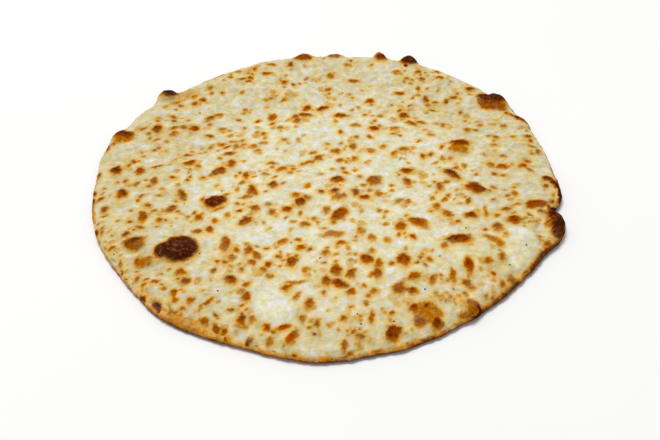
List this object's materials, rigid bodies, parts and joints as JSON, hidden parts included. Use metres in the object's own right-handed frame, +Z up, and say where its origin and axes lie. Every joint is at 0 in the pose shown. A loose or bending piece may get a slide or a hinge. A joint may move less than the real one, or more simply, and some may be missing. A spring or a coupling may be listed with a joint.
{
  "type": "cheese pizza",
  "caption": "Round thin white cheese pizza, whole and uncut: hand-stretched dough with a low puffed rim and scorched bubbles under one layer of melted, spotted brown cheese.",
  "frame": {"origin": "middle of the flat underside, at the centre of the pizza's footprint", "axes": "+Z up through the pizza, -Y towards the side nearest the viewer in the picture, +X to that viewer's right"},
  "size_m": [0.334, 0.3326, 0.0141],
  "materials": {
    "baked_dough": "dry, toasted tan with darker brown on bubbles and underside",
    "melted_cheese": "soft satin ivory with golden to dark brown baked spots"
  },
  "bodies": {
    "root": {"crust": "baked_dough", "cheese": "melted_cheese"}
  },
  "joints": []
}
